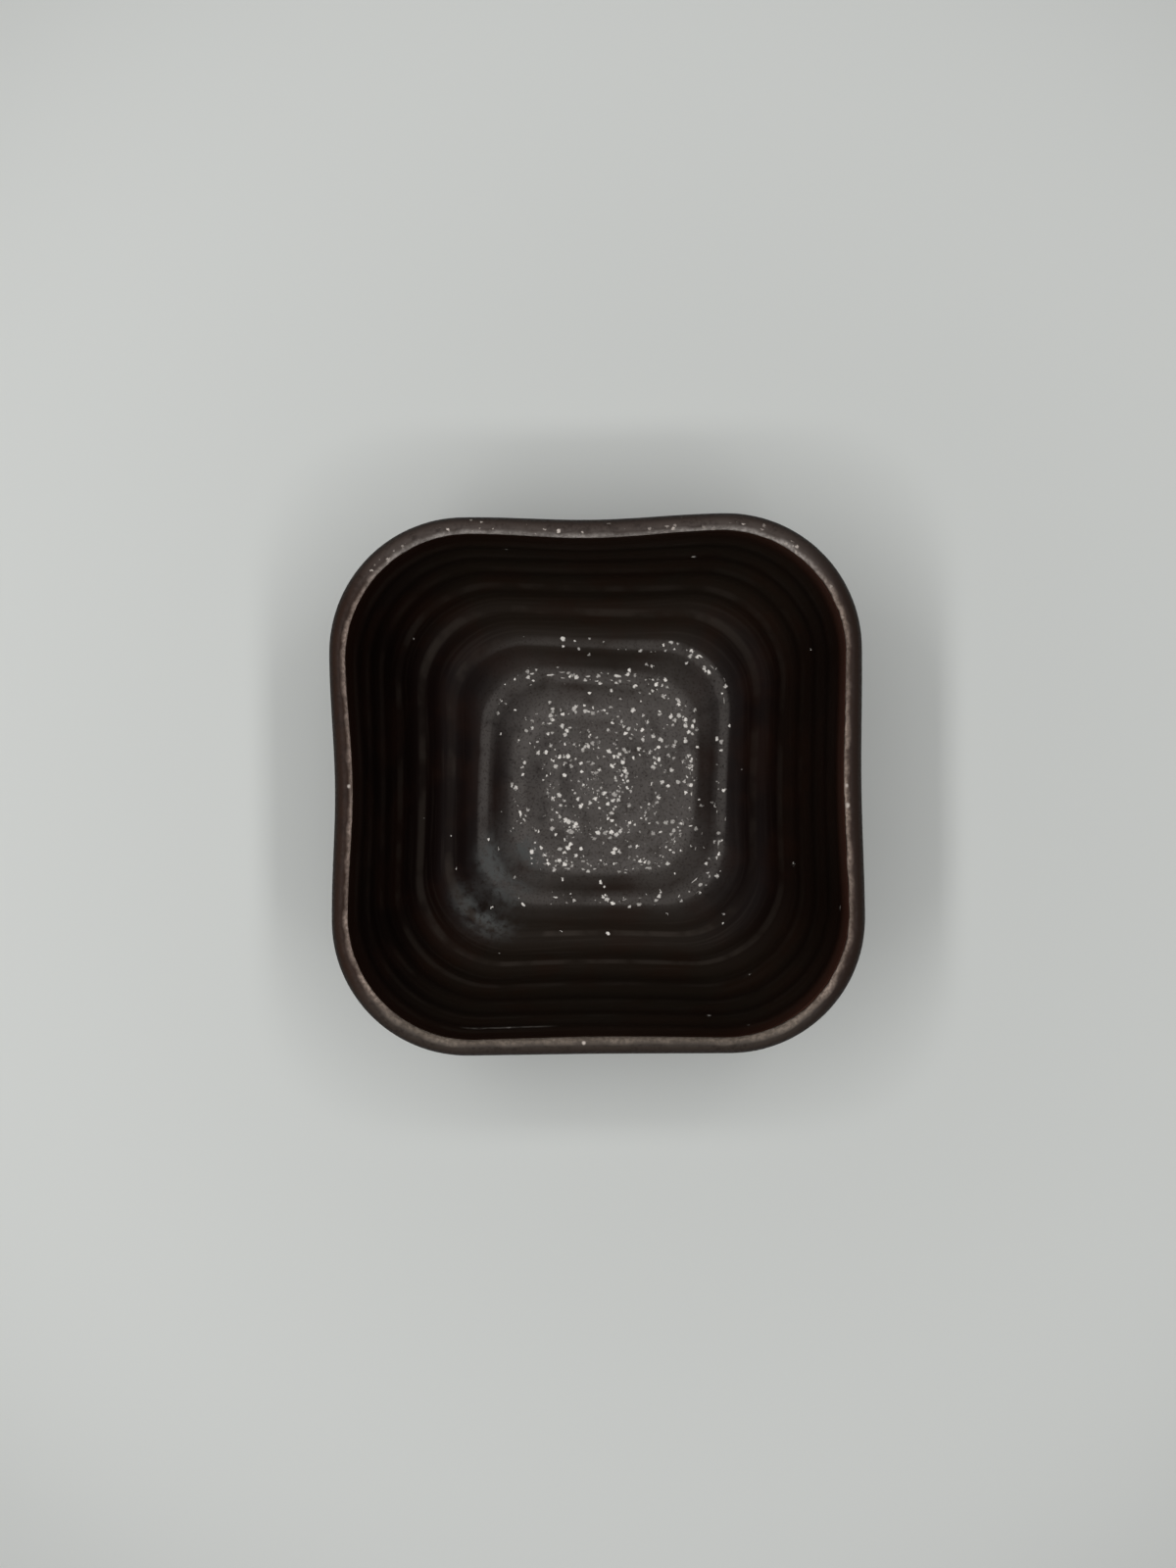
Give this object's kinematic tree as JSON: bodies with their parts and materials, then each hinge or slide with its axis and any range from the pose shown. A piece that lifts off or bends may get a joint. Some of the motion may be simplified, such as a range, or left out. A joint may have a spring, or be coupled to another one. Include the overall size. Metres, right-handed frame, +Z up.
{
  "type": "small square bowl",
  "caption": "Small hand-squared stoneware bowl with pinched sides, a wound throwing ring inside, dark glazes and a raised foot, for serving food.",
  "frame": {"origin": "on the table, under the middle of the bowl", "axes": "+Z up out of the mouth; +X to the right and +Y to the top of the reference view from above"},
  "size_m": [0.1098, 0.1112, 0.055],
  "materials": {
    "clay": "bare fired stoneware, matt, grey-brown",
    "foot_clay": "bare fired stoneware, matt, worn smooth where it stands",
    "liner": "glossy brown-black glaze with pale specks on the floor",
    "rim": "thin worn brown glaze over the lip, satin",
    "outside": "satin dark brown glaze"
  },
  "bodies": {
    "root": {"stoneware_body": "clay", "foot_ring": "foot_clay", "liner_glaze": "liner", "rim_glaze": "rim", "outer_glaze": "outside"}
  },
  "joints": []
}
